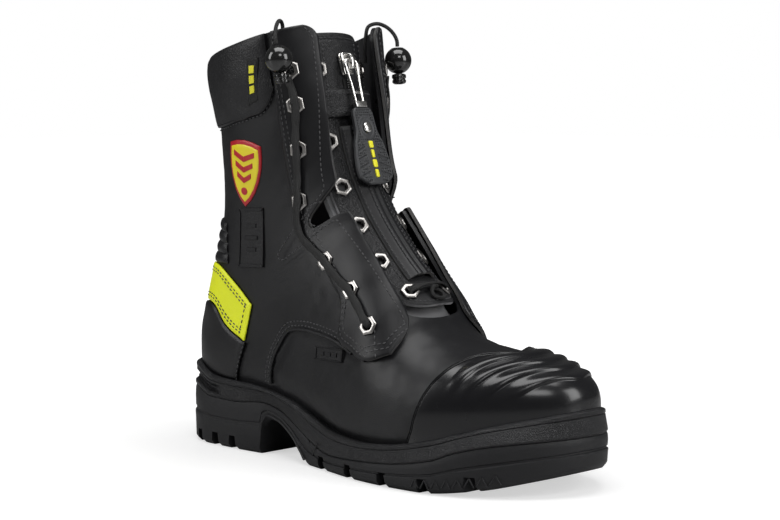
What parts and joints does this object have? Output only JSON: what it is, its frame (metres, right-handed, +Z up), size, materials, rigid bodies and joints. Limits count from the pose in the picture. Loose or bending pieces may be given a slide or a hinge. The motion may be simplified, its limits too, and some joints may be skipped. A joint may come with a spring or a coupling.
{
  "type": "firefighter boot",
  "caption": "Mid-calf black leather safety boot with a cleated sole, toe cap, padded collar, a zip insert laced into the front with cord locks, and a yellow band at the heel.",
  "frame": {"origin": "on the floor under the middle of the boot's length and width", "axes": "+X to the toe, +Y to the inner side of a right foot, +Z up"},
  "size_m": [0.311, 0.1196, 0.2689],
  "materials": {
    "outsole": "moulded black rubber, satin on the walls and duller on the tread",
    "midsole": "fine-grained moulded black rubber",
    "lining": "dark knitted lining",
    "leather": "smooth black waxed leather with soft broad highlights",
    "padded_leather": "soft black leather over padding",
    "toe_cap": "glossy black scuff cap with raised ridges",
    "hi_vis": "fluorescent yellow coated fabric",
    "zip_tape": "black zip chain and tape",
    "nickel": "bright nickel plate",
    "eyelet_metal": "dark nickel hexagons, satin",
    "puller_rubber": "charcoal rubber with a pitted pattern and a yellow strip",
    "webbing": "black woven webbing",
    "gloss_plastic": "glossy black moulded plastic",
    "lace": "flat black braided lace"
  },
  "bodies": {
    "boot": {"outsole": "outsole", "midsole": "midsole", "insole": "lining", "tongue": "lining", "upper": "leather", "toe_cap": "toe_cap", "heel_counter": "leather", "collar": "padded_leather", "facing_lateral": "leather", "facing_medial": "leather", "hi_vis_band": "hi_vis", "zip_insert": "leather", "zip_chain": "zip_tape", "zip_flap": "leather", "zip_strap": "leather", "zip_slider": "nickel", "pull_loop": "webbing", "cord_lock_lateral": "gloss_plastic", "cord_lock_medial": "gloss_plastic", "cord_lock_neck_lateral": "gloss_plastic", "cord_lock_neck_medial": "gloss_plastic", "lace_lateral": "lace", "lace_medial": "lace", "lace_crossing": "lace", "lace_knot": "lace", "lace_loop_lateral": "lace", "lace_loop_medial": "lace", "eyelet_lateral_1": "eyelet_metal", "eyelet_lateral_2": "eyelet_metal", "eyelet_lateral_3": "eyelet_metal", "eyelet_lateral_4": "eyelet_metal", "eyelet_lateral_5": "eyelet_metal", "eyelet_lateral_6": "eyelet_metal", "eyelet_lateral_7": "eyelet_metal", "eyelet_medial_1": "eyelet_metal", "eyelet_medial_2": "eyelet_metal", "eyelet_medial_3": "eyelet_metal", "eyelet_medial_4": "eyelet_metal", "eyelet_medial_5": "eyelet_metal", "eyelet_medial_6": "eyelet_metal", "eyelet_medial_7": "eyelet_metal", "insert_eyelet_lateral_1": "eyelet_metal", "insert_eyelet_lateral_2": "eyelet_metal", "insert_eyelet_lateral_3": "eyelet_metal", "insert_eyelet_lateral_4": "eyelet_metal", "insert_eyelet_lateral_5": "eyelet_metal", "insert_eyelet_lateral_6": "eyelet_metal", "insert_eyelet_medial_1": "eyelet_metal", "insert_eyelet_medial_2": "eyelet_metal", "insert_eyelet_medial_3": "eyelet_metal", "insert_eyelet_medial_4": "eyelet_metal", "insert_eyelet_medial_5": "eyelet_metal", "insert_eyelet_medial_6": "eyelet_metal"},
    "zip_pull": {"zip_pull": "nickel", "puller": "puller_rubber", "puller_stud": "nickel"}
  },
  "joints": [
    {"name": "zip_pull_hinge", "type": "hinge", "parent": "boot", "child": "zip_pull", "pos_m": [-0.02827, 0, 0.24459], "axis": [0, -1, 0], "range_deg": [0, 150]}
  ]
}
